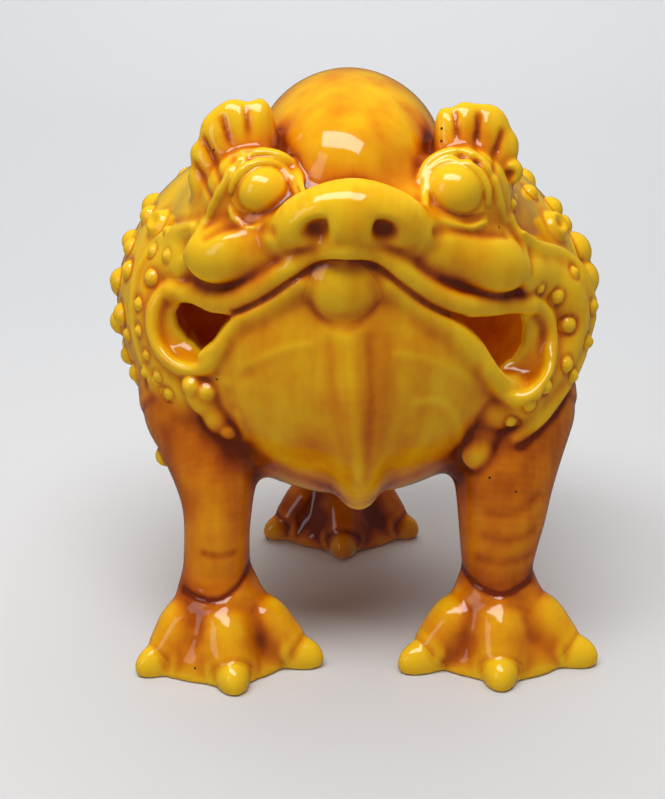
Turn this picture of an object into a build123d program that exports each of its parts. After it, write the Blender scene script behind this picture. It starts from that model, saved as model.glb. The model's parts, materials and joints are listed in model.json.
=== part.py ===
"""Glazed earthenware figure of a three-legged toad, built as the clay pieces that are luted together.

Millimetres. +Z is up, the toad faces -Y, and its own left side is +X. The origin is on the surface
that it stands on, under the middle of its bounding box. Each node is one clay piece, or one group of
matching pieces, written to parts/NODE.step.
"""

from build123d import *
import math
import os

# The hollow body: centres and outer semi-axes of the rounded forms that make it
WALL = 5.0
BODY_AT, BODY_SEMI = (0, 8, 103), (78, 68, 61)
HEAD_AT, HEAD_SEMI = (0, -22, 134), (56, 42, 30)
CHIN_AT, CHIN_SEMI = (0, -18, 104), (55, 48, 58)
CROWN_AT, CROWN_R = (0, -17, 150), 25
HUMP_AT, HUMP_R = (0, 16, 144.5), 33
MOULD_SEAM_Z = 97   # the back half of the mould meets the belly half here
CROWN_FOOT_Z = 134  # the crown is luted to the back above this height
HEAD_BACK_Y = -20   # the head is luted to the back here
FACE_FOOT_Z = 84
BEYOND = 200        # further out than any part of the figure

# The face
EYE_AT, EYE_R = (28.5, -45, 151), 9.5
LID_AT, LID_RING_R, LID_R = (28.5, -48, 151), 9.6, 2.4
LID_PITCH, LID_YAW = 78, 14
SNOUT_AT, SNOUT_SEMI = (0, -58, 150), (23, 13, 10)
NOSTRIL_WING_AT, NOSTRIL_WING_SEMI = (17, -58, 144), (9, 10, 8)
NOSTRIL_AT, NOSTRIL_R, NOSTRIL_DEPTH = (9.5, -72, 145), 2.2, 12
CHEEK_AT, CHEEK_SEMI, CHEEK_TILT = (37, -49, 127), (16, 9, 9), 18
CHIN_BOSS_AT, CHIN_BOSS_SEMI = (0, -61, 123), (11, 7, 12)
LIP_R = 4.2
LIP_CORNER, LIP_APEX = (56, -37, 117), (0, -66, 137)
RIM_R = 4.0
RIM_TOP, RIM_SIDE, RIM_FOOT = (56, -36.5, 116), (62, -33.5, 106), (47, -44.5, 94)
MOUTH_HOLE_AT, MOUTH_HOLE_SEMI, MOUTH_HOLE_TILT = (45, -42, 106), (9.5, 22, 6.5), 12
JAW_OUTLINE = ((0, 134), (28, 116), (47, 97), (43, 84), (28, 62), (0, 42))  # (x, z) of its left half

# The brow crests, a fan of round-ended fingers over each eye
CREST_HUB, CREST_HUB_R = (35, -31, 157), 6.5
CREST_FINGER_LENGTH, CREST_FINGER_R = 15, 4.5
CREST_FINGERS, CREST_FIRST_ANGLE, CREST_LAST_ANGLE = 5, -22, 102

# The warty collar behind each corner of the mouth, its warts, and the lobe at its foot
COLLAR_R = 7
COLLAR_TOP, COLLAR_SIDE, COLLAR_FOOT = (52, -28, 136), (72, -16, 104), (47, -34, 74)
COLLAR_WARTS, COLLAR_WART_R, COLLAR_WART_STAGGER = 9, 3.0, 3.6
COLLAR_WART_FREE = 1 / 3  # a wart is kept when more than this share of its ball stands free
FRILL_AT, FRILL_SEMI = (42, -47, 83), (10, 6, 8)

# Feet: three toes fan out forwards from each ankle, joined by a low web, each with a claw
FOOT_H, FOOT_BASE_R, FOOT_TOP_R = 20, 17, 14
WEB_AHEAD, WEB_SEMI = 12, (24, 16, 9)
TOE_LENGTH, TOE_SEMI, TOE_AT_Z, TOE_PITCH = 32, (8.5, 18, 10), 5, 14
CLAW_SEMI, CLAW_AT_Z = (5.6, 9.5, 7), 2.5
TOE_ANGLES = (-60, 0, 60)

# Legs: (x, y, z, radius) from the top of the foot up, and the round shoulder or hip that closes the top
FRONT_ANKLE, HIND_ANKLE = (43, -42.5), (0, 54)
FRONT_LEG = (
    (*FRONT_ANKLE, FOOT_H, FOOT_TOP_R), (*FRONT_ANKLE, 36, 12.3),
    (45, -39, 50, 15), (47, -32, 62, 19), (49, -22, 74, 22),
)
SHOULDER_AT, SHOULDER_R = (49, -20, 80), 25
HIND_LEG = (
    (*HIND_ANKLE, FOOT_H, FOOT_TOP_R), (*HIND_ANKLE, 34, 12.5),
    (0, 50, 46, 15), (0, 44, 58, 19), (0, 39, 66, 21),
)
HIP_AT, HIP_R = (0, 38, 72), 24

# Warts: (longitude from the front, latitude, radius), on the toad's left flank and along its back
FLANK_WARTS = (
    (62, 20, 6), (78, 4, 7), (64, -8, 5), (84, 28, 7), (92, -14, 6), (74, -26, 5),
    (104, 10, 6), (112, 34, 7), (120, -6, 6), (108, -28, 5), (136, 16, 6), (140, -18, 5), (146, 40, 6),
)
BACK_WARTS = ((180, 8, 7), (180, 30, 7), (166, 22, 5), (194, 22, 5), (168, -8, 5), (192, -8, 5))
WART_FLATTEN = 0.55


def ellipsoid(at, semi, turn=Rotation(0, 0, 0)):
    """A ball scaled to three semi-axes, turned, and moved to its place."""
    unit = 10.0
    return Pos(*at) * turn * scale(Sphere(unit), by=tuple(s / unit for s in semi))


def right_of(shape):
    """The matching piece on the toad's right side."""
    return mirror(shape, about=Plane.YZ)


def both_sides(shape):
    return [shape, right_of(shape)]


def largest_of(shape):
    """The one solid that matters in a result, where a cut leaves loose crumbs."""
    return max(shape.solids(), key=lambda s: s.volume)


def meets(box, other):
    """Whether two bounding boxes overlap."""
    apart = (
        box.max.X < other.min.X or box.max.Y < other.min.Y or box.max.Z < other.min.Z
        or other.max.X < box.min.X or other.max.Y < box.min.Y or other.max.Z < box.min.Z
    )
    return not apart


def trim(shape, others):
    """The shape less those of the others that it can touch."""
    box = shape.bounding_box()
    near = [other for other in others if meets(box, other.bounding_box())]
    return shape - near if near else shape


def rolled(start, middle, end, radius):
    """A rope of clay, round in section, bent to an arc through three points and closed by balls."""
    path = ThreePointArc(start, middle, end)
    profile = Plane(origin=path @ 0, z_dir=path % 0) * Circle(radius)
    rope = sweep(profile, path=path)
    return rope + Pos(*start) * Sphere(radius) + Pos(*end) * Sphere(radius)


def leg_form(rings, top_at, top_r):
    """A solid leg lofted through level rings, with the ball of its shoulder on top."""
    shank = loft([Plane(origin=(x, y, z)) * Circle(r) for x, y, z, r in rings])
    return shank + Pos(*top_at) * Sphere(top_r)


def slab(z_low, z_high, y_low=-BEYOND, y_high=BEYOND):
    """A wide block between two heights, and between two depths, for cutting the shell into pieces."""
    middle = (0, (y_low + y_high) / 2, (z_low + z_high) / 2)
    return Pos(*middle) * Box(2 * BEYOND, y_high - y_low, z_high - z_low)


def crown_forms(inset=0.0):
    """The balls of the crown and of the hump behind it, each drawn in by an inset."""
    return [Pos(*at) * Sphere(r - inset) for at, r in ((CROWN_AT, CROWN_R), (HUMP_AT, HUMP_R))]


def body_forms(inset=0.0):
    """All the rounded forms of the figure's body, each drawn in by an inset."""
    forms = [
        ellipsoid(at, tuple(s - inset for s in semi))
        for at, semi in ((BODY_AT, BODY_SEMI), (HEAD_AT, HEAD_SEMI), (CHIN_AT, CHIN_SEMI))
    ]
    return forms + crown_forms(inset)


def union(shapes):
    """All the shapes fused, one after another."""
    result = shapes[0]
    for shape in shapes[1:]:
        result = result + shape
    return result


def jaw_block():
    """The outline of the lower jaw as seen from the front, extruded forwards through the face."""
    right_half = [(-x, z) for x, z in reversed(JAW_OUTLINE[1:-1])]
    outline = make_face(Polyline([(x, HEAD_BACK_Y, z) for x, z in [*JAW_OUTLINE, *right_half]], close=True))
    return extrude(outline, amount=BEYOND, dir=(0, -1, 0))


def make_shells(forms, sockets):
    """The hollow body cut into its moulded pieces: back, belly, head, crown and lower jaw."""
    shell = union(forms) - union(body_forms(WALL))
    mouth = both_sides(ellipsoid(MOUTH_HOLE_AT, MOUTH_HOLE_SEMI, Rotation(0, MOUTH_HOLE_TILT, 0)))
    for cutter in [*mouth, *sockets]:
        shell = shell - cutter
    jaw_zone = jaw_block()
    crown_zone = union(crown_forms()) & slab(CROWN_FOOT_Z, BEYOND)
    face_zone = slab(FACE_FOOT_Z, BEYOND, -BEYOND, HEAD_BACK_Y)
    return {
        "back_shell": largest_of((shell & slab(MOULD_SEAM_Z, BEYOND, HEAD_BACK_Y, BEYOND)) - crown_zone),
        "belly_shell": largest_of((shell & slab(0, MOULD_SEAM_Z)) - face_zone - jaw_zone),
        "head_shell": largest_of((shell & face_zone) - crown_zone - jaw_zone),
        "crown_dome": largest_of(shell & crown_zone),
        "lower_jaw": largest_of(shell & jaw_zone),
    }


def crest_fan():
    """The fan of fingers over the left eye, spread in an upright plane around one hub."""
    fan = Pos(*CREST_HUB) * Sphere(CREST_HUB_R)
    for k in range(CREST_FINGERS):
        angle = CREST_FIRST_ANGLE + (CREST_LAST_ANGLE - CREST_FIRST_ANGLE) * k / (CREST_FINGERS - 1)
        a = math.radians(angle)
        place = Plane(origin=CREST_HUB, z_dir=(math.cos(a), 0, math.sin(a)))
        fan += place * Pos(0, 0, CREST_FINGER_LENGTH / 2) * Cylinder(CREST_FINGER_R, CREST_FINGER_LENGTH)
        fan += place * Pos(0, 0, CREST_FINGER_LENGTH) * Sphere(CREST_FINGER_R)
    return fan


def make_foot(x, y):
    """A foot and its three claws, around an ankle at (x, y), cut flat where it stands."""
    ground = slab(0, FOOT_H)
    foot = loft([Pos(x, y, 0) * Circle(FOOT_BASE_R), Pos(x, y, FOOT_H) * Circle(FOOT_TOP_R)])
    foot += ellipsoid((x, y - WEB_AHEAD, 0), WEB_SEMI) & ground
    claws = []
    for angle in TOE_ANGLES:
        way = (math.sin(math.radians(angle)), -math.cos(math.radians(angle)))
        reach = TOE_LENGTH - TOE_SEMI[1]
        turn = Rotation(0, 0, angle) * Rotation(TOE_PITCH, 0, 0)
        foot += ellipsoid((x + way[0] * reach, y + way[1] * reach, TOE_AT_Z), TOE_SEMI, turn)
        tip = TOE_LENGTH - CLAW_SEMI[1] / 2
        claw_at = (x + way[0] * tip, y + way[1] * tip, CLAW_AT_Z)
        claws.append(largest_of(ellipsoid(claw_at, CLAW_SEMI, Rotation(0, 0, angle)) & ground))
    foot = foot & ground
    for claw in claws:
        foot = foot - claw
    return largest_of(foot), Compound(children=claws)


def wart_group(warts, skins):
    """Low domes on the body's skin at the given longitudes and latitudes."""
    found = []
    for longitude, latitude, radius in warts:
        a, b = math.radians(longitude), math.radians(latitude)
        out = (math.sin(a) * math.cos(b), -math.cos(a) * math.cos(b), math.sin(b))
        reach = 1 / math.sqrt(sum((o / s) ** 2 for o, s in zip(out, BODY_SEMI)))
        at = tuple(c + o * reach for c, o in zip(BODY_AT, out))
        normal = Vector(*[o * reach / s**2 for o, s in zip(out, BODY_SEMI)]).normalized()
        dome = ellipsoid((0, 0, 0), (radius, radius, radius * WART_FLATTEN))
        rest = trim(Plane(origin=at, z_dir=normal) * dome, skins)
        found += [s for s in rest.solids() if (s.center() - Vector(*at)).dot(normal) > 0]
    return Compound(children=found)


def collar_wart_group(skins):
    """Two staggered rows of small round warts along the left collar."""
    path = ThreePointArc(COLLAR_TOP, COLLAR_SIDE, COLLAR_FOOT)
    found = []
    for k in range(COLLAR_WARTS):
        t = (k + 1) / (COLLAR_WARTS + 1)
        along = path % t
        out = path @ t - Vector(*BODY_AT)
        out = (out - along * out.dot(along)).normalized()
        across = along.cross(out) * (COLLAR_WART_STAGGER if k % 2 else -COLLAR_WART_STAGGER)
        lift = math.sqrt(COLLAR_R**2 - COLLAR_WART_STAGGER**2)
        ball = Pos(*(path @ t + out * lift + across)) * Sphere(COLLAR_WART_R)
        found += [s for s in trim(ball, skins).solids() if s.volume > ball.volume * COLLAR_WART_FREE]
    return Compound(children=found)


def make_parts():
    forms = body_forms()
    eye = Pos(*EYE_AT) * Sphere(EYE_R)
    eyes = both_sides(eye)
    front_leg = leg_form(FRONT_LEG, SHOULDER_AT, SHOULDER_R)
    hind_leg = leg_form(HIND_LEG, HIP_AT, HIP_R)
    parts = make_shells(forms, eyes)

    snout = ellipsoid(SNOUT_AT, SNOUT_SEMI)
    for wing in both_sides(ellipsoid(NOSTRIL_WING_AT, NOSTRIL_WING_SEMI)):
        snout += wing
    nostril = Pos(*NOSTRIL_AT) * Rotation(-90, 0, 0) * Cylinder(NOSTRIL_R, NOSTRIL_DEPTH)
    parts["snout"] = largest_of(trim(snout, [*forms, *eyes, *both_sides(nostril)]))

    right_lip_corner = (-LIP_CORNER[0], *LIP_CORNER[1:])
    lip = rolled(right_lip_corner, LIP_APEX, LIP_CORNER, LIP_R)
    parts["upper_lip"] = largest_of(trim(lip, [*forms, parts["snout"]]))
    boss = ellipsoid(CHIN_BOSS_AT, CHIN_BOSS_SEMI)
    parts["chin_boss"] = largest_of(trim(boss, [*forms, parts["upper_lip"]]))

    cheek = ellipsoid(CHEEK_AT, CHEEK_SEMI, Rotation(0, CHEEK_TILT, 0))
    cheek = largest_of(trim(cheek, [*forms, parts["snout"], parts["upper_lip"]]))
    rim = rolled(RIM_TOP, RIM_SIDE, RIM_FOOT, RIM_R)
    rim = largest_of(trim(rim, [*forms, parts["upper_lip"], cheek]))
    lid = Pos(*LID_AT) * Rotation(0, 0, LID_YAW) * Rotation(LID_PITCH, 0, 0) * Torus(LID_RING_R, LID_R)
    lid = largest_of(trim(lid, [*forms, eye, parts["snout"], cheek]))
    crest = largest_of(trim(crest_fan(), [*forms, eye, lid]))
    collar_rope = rolled(COLLAR_TOP, COLLAR_SIDE, COLLAR_FOOT, COLLAR_R)
    collar = largest_of(trim(collar_rope, [*forms, crest, rim]))
    leg = largest_of(trim(front_leg, [*forms, collar, rim]))
    frill = largest_of(trim(ellipsoid(FRILL_AT, FRILL_SEMI), [*forms, collar, rim, leg]))
    collar_warts = collar_wart_group([*forms, collar_rope, crest, leg, frill])
    side_skins = [*forms, collar, collar_warts, leg, hind_leg]
    foot, claws = make_foot(*FRONT_ANKLE)
    one_side = {
        "eye": eye,
        "eyelid": lid,
        "brow_crest": crest,
        "cheek": cheek,
        "mouth_corner": rim,
        "collar": collar,
        "collar_warts": collar_warts,
        "collar_lobe": frill,
        "front_leg": leg,
        "front_foot": foot,
        "front_claws": claws,
        "flank_warts": wart_group(FLANK_WARTS, side_skins),
    }
    for name, shape in one_side.items():
        parts[f"left_{name}"] = shape
        parts[f"right_{name}"] = right_of(shape)

    parts["hind_leg"] = largest_of(trim(hind_leg, forms))
    parts["hind_foot"], parts["hind_claws"] = make_foot(*HIND_ANKLE)
    parts["back_warts"] = wart_group(BACK_WARTS, [*forms, hind_leg])
    return parts


def main():
    os.makedirs("parts", exist_ok=True)
    for name, shape in make_parts().items():
        export_step(shape, f"parts/{name}.step")


main()
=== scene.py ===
"""Looks of the glazed earthenware three-legged toad, sculpted as clay on a distance grid around the frame.

The sculpting is written in millimetres for a figure FIGURE_HEIGHT tall, and takes its real size from
the frame. +Z is up, the toad faces -Y, and its own left side is +X. One block of clay is built up from
balls, ropes and grooves that melt into each other. Each form belongs to a CAD node, and the finished
clay is then parted along the creases into one closed piece for each node.
"""

import json
import math

import bpy
import numpy as np
import openvdb
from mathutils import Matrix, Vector

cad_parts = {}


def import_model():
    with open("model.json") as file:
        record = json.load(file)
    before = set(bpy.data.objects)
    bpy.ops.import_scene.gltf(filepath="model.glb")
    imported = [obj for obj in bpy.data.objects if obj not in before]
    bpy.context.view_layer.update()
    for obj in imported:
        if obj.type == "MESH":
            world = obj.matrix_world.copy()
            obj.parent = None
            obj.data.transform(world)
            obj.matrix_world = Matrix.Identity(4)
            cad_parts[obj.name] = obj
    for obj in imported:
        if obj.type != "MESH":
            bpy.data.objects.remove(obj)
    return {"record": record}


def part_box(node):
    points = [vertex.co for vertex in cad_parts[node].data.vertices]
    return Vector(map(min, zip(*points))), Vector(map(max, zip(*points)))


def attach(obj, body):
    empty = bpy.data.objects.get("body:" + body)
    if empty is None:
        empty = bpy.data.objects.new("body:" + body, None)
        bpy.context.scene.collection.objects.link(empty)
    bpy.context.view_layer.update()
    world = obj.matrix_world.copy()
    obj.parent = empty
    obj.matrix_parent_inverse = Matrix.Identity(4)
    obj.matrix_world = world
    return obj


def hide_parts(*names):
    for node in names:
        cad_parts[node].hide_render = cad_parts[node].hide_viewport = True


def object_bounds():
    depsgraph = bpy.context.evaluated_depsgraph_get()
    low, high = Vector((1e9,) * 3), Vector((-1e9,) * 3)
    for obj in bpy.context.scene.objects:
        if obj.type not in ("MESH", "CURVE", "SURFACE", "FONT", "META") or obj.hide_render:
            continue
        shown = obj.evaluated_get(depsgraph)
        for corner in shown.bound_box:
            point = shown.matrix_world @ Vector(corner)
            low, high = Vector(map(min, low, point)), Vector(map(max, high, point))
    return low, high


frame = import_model()
CAD_BOX = [list(corner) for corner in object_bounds()]

FIGURE_HEIGHT = 177.5
UNIT = (CAD_BOX[1][2] - CAD_BOX[0][2]) / FIGURE_HEIGHT  # metres in one sculpting millimetre
CELL = 0.75                      # spacing of the distance grid
FAR = 60.0                                              # stands for "nowhere near"
ROOM = 9.0                                              # free space around the figure
SIDES = (("left", 1), ("right", -1))


def centre_of(node):
    """The middle of a CAD node, in sculpting millimetres."""
    low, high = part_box(node)
    return np.array((low + high) / 2 / UNIT)


def mirrored(place, sign):
    """A place given for the left side, on the side that the sign says."""
    return np.array((sign * place[0], place[1], place[2]))


# ---------------------------------------------------------------- forms


class Form:
    """A shape given by its signed distance, and the box outside which it does not matter."""

    def __init__(self, low, high, distance):
        self.low, self.high = np.array(low, float), np.array(high, float)
        self.distance = distance


def turned(tilt, yaw, roll):
    """A rotation matrix from degrees about X, then Y (roll), then Z (yaw)."""
    cx, sx = math.cos(math.radians(tilt)), math.sin(math.radians(tilt))
    cy, sy = math.cos(math.radians(roll)), math.sin(math.radians(roll))
    cz, sz = math.cos(math.radians(yaw)), math.sin(math.radians(yaw))
    about_x = np.array([[1, 0, 0], [0, cx, -sx], [0, sx, cx]])
    about_y = np.array([[cy, 0, sy], [0, 1, 0], [-sy, 0, cy]])
    about_z = np.array([[cz, -sz, 0], [sz, cz, 0], [0, 0, 1]])
    return (about_z @ about_y @ about_x).astype(np.float32)


def ball(at, semi, tilt=0, yaw=0, roll=0):
    """An ellipsoid with its centre and three semi-axes, or one radius."""
    a, b, c = semi if hasattr(semi, "__len__") else (semi, semi, semi)
    turn = turned(tilt, yaw, roll)

    def distance(x, y, z):
        px, py, pz = x - at[0], y - at[1], z - at[2]
        u = turn[0, 0] * px + turn[1, 0] * py + turn[2, 0] * pz
        v = turn[0, 1] * px + turn[1, 1] * py + turn[2, 1] * pz
        w = turn[0, 2] * px + turn[1, 2] * py + turn[2, 2] * pz
        k0 = np.sqrt((u / a) ** 2 + (v / b) ** 2 + (w / c) ** 2)
        k1 = np.sqrt((u / a**2) ** 2 + (v / b**2) ** 2 + (w / c**2) ** 2)
        return k0 * (k0 - 1) / np.maximum(k1, 1e-4)

    reach = max(a, b, c)
    return Form(np.array(at) - reach, np.array(at) + reach, distance)


def outwards(longitude, latitude):
    """The way out from a middle, by degrees round from the front and degrees up."""
    a, b = math.radians(longitude), math.radians(latitude)
    return np.array([math.sin(a) * math.cos(b), -math.cos(a) * math.cos(b), math.sin(b)])


def smooth_path(points, steps=5):
    """Points along a smooth curve through the given ones (Catmull-Rom)."""
    points = np.array(points, float)
    ends = np.vstack([2 * points[0] - points[1], points, 2 * points[-1] - points[-2]])
    found = []
    for a, b, c, d in zip(ends, ends[1:], ends[2:], ends[3:]):
        square, cube = 2 * a - 5 * b + 4 * c - d, 3 * b - a - 3 * c + d
        for t in np.arange(steps) / steps:
            found.append(0.5 * (2 * b + (c - a) * t + square * t**2 + cube * t**3))
    return np.array(found + [points[-1]])


def rope(points, radii=0.0, steps=5):
    """A rope of clay along a smooth curve, with one radius or one at each point."""
    radii = np.full(len(points), radii, float) if np.isscalar(radii) else np.array(radii, float)
    line = smooth_path(np.column_stack([points, radii]), steps).astype(np.float32)

    def distance(x, y, z):
        best = None
        for p, q in zip(line[:-1], line[1:]):
            d = q[:3] - p[:3]
            px, py, pz = x - p[0], y - p[1], z - p[2]
            t = np.clip((px * d[0] + py * d[1] + pz * d[2]) / max(float(d @ d), 1e-6), 0, 1)
            gap = np.sqrt((px - d[0] * t) ** 2 + (py - d[1] * t) ** 2 + (pz - d[2] * t) ** 2)
            gap = gap - (p[3] + (q[3] - p[3]) * t)
            best = gap if best is None else np.minimum(best, gap)
        return best

    reach = line[:, 3].max()
    return Form(line[:, :3].min(0) - reach, line[:, :3].max(0) + reach, distance)


def outline(points, y_low, y_high):
    """A prism through the face: an outline of (x, z) points, between two depths."""
    points = np.array(points, np.float32)

    def distance(x, y, z):
        nearest, inside = None, None
        for p, q in zip(points, np.roll(points, -1, axis=0)):
            d = q - p
            px, pz = x - p[0], z - p[1]
            t = np.clip((px * d[0] + pz * d[1]) / float(d @ d), 0, 1)
            gap = (px - d[0] * t) ** 2 + (pz - d[1] * t) ** 2
            crosses = (p[1] > z) != (q[1] > z)
            crosses = crosses & (x < (q[0] - p[0]) * (z - p[1]) / (q[1] - p[1] + 1e-9) + p[0])
            nearest = gap if nearest is None else np.minimum(nearest, gap)
            inside = crosses if inside is None else inside ^ crosses
        flat = np.where(inside, -1, 1) * np.sqrt(nearest)
        return np.maximum(flat, np.maximum(y_low - y, y - y_high))

    low = (points[:, 0].min(), y_low, points[:, 1].min())
    high = (points[:, 0].max(), y_high, points[:, 1].max())
    return Form(low, high, distance)


def within(form, *limits):
    """A form cut by limits, each a function of x, y and z that is above zero outside."""

    def distance(x, y, z):
        found = form.distance(x, y, z)
        for limit in limits:
            found = np.maximum(found, limit(x, y, z))
        return found

    return Form(form.low, form.high, distance)


def melted(blend, *forms):
    """Several forms melted together into one."""

    def distance(x, y, z):
        found = forms[0].distance(x, y, z)
        for form in forms[1:]:
            found = soft_min(found, form.distance(x, y, z), blend)
        return found

    return Form(np.min([f.low for f in forms], axis=0), np.max([f.high for f in forms], axis=0), distance)


def soft_min(a, b, blend):
    """The smaller of two distances, melted together over a blend width."""
    near = np.maximum(blend - np.abs(a - b), 0)
    return np.minimum(a, b) - near * near / (4 * blend)


# ---------------------------------------------------------------- the clay


class Clay:
    """A block of cells that holds the signed distance of the figure, and which node each cell is nearest."""

    MARGIN = 4.0       # how far a form is worked past its own box
    LINE_REACH = 2.6   # how far a line is worked from its middle, in widths
    OUTSIDE = 110      # far enough from the middle of the body to be off it
    SIGHT = 90         # how far touch() looks

    def __init__(self, low, high):
        self.low = np.array(low, float)
        count = np.ceil((np.array(high) - self.low) / CELL).astype(int) + 1
        self.axes = [(self.low[i] + CELL * np.arange(count[i])).astype(np.float32) for i in range(3)]
        self.field = np.full(count, FAR, np.float32)
        self.near = np.full(count, FAR, np.float32)
        self.next = np.full(count, FAR, np.float32)
        self.owner = np.full(count, -1, np.int8)
        self.claims = {}
        self.stains = []

    def block(self, low, high):
        """The cells between two corners, as slices, and their open coordinates."""
        slices = []
        for axis, a, b in zip(self.axes, low, high):
            first = int(np.clip((a - axis[0]) // CELL, 0, len(axis) - 2))
            last = int(np.clip((b - axis[0]) // CELL + 2, first + 2, len(axis)))
            slices.append(slice(first, last))
        slices = tuple(slices)
        return slices, np.ix_(*[axis[s] for axis, s in zip(self.axes, slices)])

    def claim(self, node, form):
        """The cells nearest to this form belong to the node."""
        number = list(self.claims).index(node) if node in self.claims else len(self.claims)
        self.claims.setdefault(node, []).append(form)
        cells, grids = self.block(form.low - self.MARGIN, form.high + self.MARGIN)
        found = np.broadcast_to(form.distance(*grids), self.field[cells].shape)
        near, following, owner = self.near[cells], self.next[cells], self.owner[cells]
        closer, own = found < near, owner == number
        following[...] = np.where(own, following, np.where(closer, near, np.minimum(following, found)))
        near[...] = np.minimum(near, found)
        owner[closer] = number

    def add(self, form, blend, node=None):
        """Presses a form on, and melts its edge into the clay over a blend width."""
        reach = blend + self.MARGIN
        cells, grids = self.block(form.low - reach, form.high + reach)
        self.field[cells] = soft_min(self.field[cells], form.distance(*grids), blend)
        if node:
            self.claim(node, form)

    def carve(self, form, blend):
        """Takes a form away, with its edge rounded over a blend width."""
        reach = blend + self.MARGIN
        cells, grids = self.block(form.low - reach, form.high + reach)
        self.field[cells] = -soft_min(-self.field[cells], form.distance(*grids), blend)

    def line(self, points, width, height, steps=5):
        """Raises a soft ridge along a curve, or with a height below zero presses a groove."""
        form = rope(points, 0.0, steps)
        reach = self.LINE_REACH * width
        cells, grids = self.block(form.low - reach, form.high + reach)
        self.field[cells] -= height * np.exp(-((form.distance(*grids) / width) ** 2))

    def stain(self, points, width, amount):
        """Lets the glaze pool along a curve."""
        self.stains.append((rope(points), width, amount))

    def probe(self, points, values=None):
        """The field, or other cell values, at any points."""
        values = self.field if values is None else values
        place = (np.asarray(points) - self.low) / CELL
        limit = np.array(values.shape) - 1.001
        place = np.clip(place, 0, limit)
        base = place.astype(int)
        part = (place - base).astype(np.float32)
        total = 0
        for corner in range(8):
            step = np.array([corner & 1, corner >> 1 & 1, corner >> 2 & 1])
            share = np.prod(np.where(step, part, 1 - part), axis=-1)
            i, j, k = np.moveaxis(base + step, -1, 0)
            total = total + share * values[i, j, k]
        return total

    def touch(self, start, way):
        """Where a line from a start first meets the clay."""
        steps = np.arange(0, self.SIGHT, CELL / 2)
        way = np.array(way, float) / np.linalg.norm(way)
        found = self.probe(np.array(start) + steps[:, None] * way)
        hit = int(np.argmax(found < 0)) if (found < 0).any() else int(np.argmin(found))
        along = steps[hit]
        if hit and found[hit] < 0:
            along -= CELL / 2 * found[hit] / (found[hit] - found[hit - 1])
        return np.array(start) + along * way

    def face(self, points, lift=0.0):
        """Points on the front of the figure for (x, z) or (x, z, lift) places, lifted towards the front."""
        found = []
        for x, z, *own in points:
            spot = self.touch((x, self.axes[1][0], z), (0, 1, 0))
            found.append(spot - (0, own[0] if own else lift, 0))
        return np.array(found)

    def flank(self, longitude, latitude):
        """A point on the skin at a longitude from the front and a latitude, and the way out of it."""
        out = outwards(longitude, latitude)
        spot = self.touch(BODY_AT + out * self.OUTSIDE, -out)
        return spot, self.normals(spot[None])[0]

    def normals(self, points):
        """The way out of the clay at points on its skin."""
        shifts = np.eye(3) * CELL
        slope = np.stack([self.probe(points + s) - self.probe(points - s) for s in shifts], axis=-1)
        return slope / np.maximum(np.linalg.norm(slope, axis=-1, keepdims=True), 1e-6)


# ---------------------------------------------------------------- body

BODY_AT, BODY_SEMI = np.array([0.0, 8.0, 103.0]), np.array([77.2, 68.0, 60.0])
HEAD_AT, HEAD_SEMI = np.array([-1.0, -22.0, 134.0]), np.array([55.0, 42.0, 28.0])
CHIN_AT, CHIN_SEMI = np.array([-1.0, -18.0, 103.0]), np.array([54.0, 47.0, 56.0])
CROWN_AT, CROWN_SEMI = (-1.5, -13, 156.5), (25.8, 38.0, 22.6)
HUMP_AT, HUMP_SEMI = (-0.5, 9, 138.5), (25, 34, 30.5)
BROW_AT, BROW_SEMI, BROW_ROLL = (34, -34, 147.5), (13, 13, 12), 12
CROWN_MELT = 26  # how widely the crown runs into the hump
FLUTES = (  # degrees round from the front, and height
    (-50, -0.3), (-26, 0.15), (-8, -0.15), (14, -0.25), (34, 0.15), (52, -0.3),
)
FLUTE_RISES = (-14, 2, 18, 34)  # degrees above the middle of the crown
WALL = 5.0         # thickness of the clay round the hollow
MOULD_SEAM_Z = 97
CROWN_FOOT_Z = 138
HEAD_BACK_Y = -20
FACE_FRONT_Y = -90  # in front of the whole face


def above(height):
    """A limit for within(): keeps what lies above a height."""
    return lambda x, y, z: height - z


def below(height):
    """A limit for within(): keeps what lies below a height."""
    return lambda x, y, z: z - height


def behind(depth):
    """A limit for within(): keeps what lies behind a depth."""
    return lambda x, y, z: depth - y


def before(depth):
    """A limit for within(): keeps what lies in front of a depth."""
    return lambda x, y, z: y - depth


def build_body(clay):
    """The big rounded forms, claimed by the shells along the mould lines."""
    body, head, chin = ball(BODY_AT, BODY_SEMI), ball(HEAD_AT, HEAD_SEMI), ball(CHIN_AT, CHIN_SEMI)
    clay.add(body, blend=1)
    clay.add(head, blend=7)
    clay.add(chin, blend=6)
    clay.claim("back_shell", within(body, above(MOULD_SEAM_Z), behind(HEAD_BACK_Y)))
    clay.claim("belly_shell", within(body, below(MOULD_SEAM_Z)))
    clay.claim("head_shell", within(head, before(HEAD_BACK_Y)))
    clay.claim("head_shell", within(body, above(MOULD_SEAM_Z), before(HEAD_BACK_Y)))


def hollow_body(clay):
    """The hollow inside the body and the head, left by the wall of clay."""
    inner = np.full(clay.field.shape, FAR, np.float32)
    for at, semi in ((BODY_AT, BODY_SEMI), (HEAD_AT, HEAD_SEMI), (CHIN_AT, CHIN_SEMI)):
        form = ball(at, semi - WALL)
        cells, grids = clay.block(form.low, form.high)
        inner[cells] = soft_min(inner[cells], form.distance(*grids), blend=5)
    clay.field = -soft_min(-clay.field, inner, blend=2)


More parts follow.
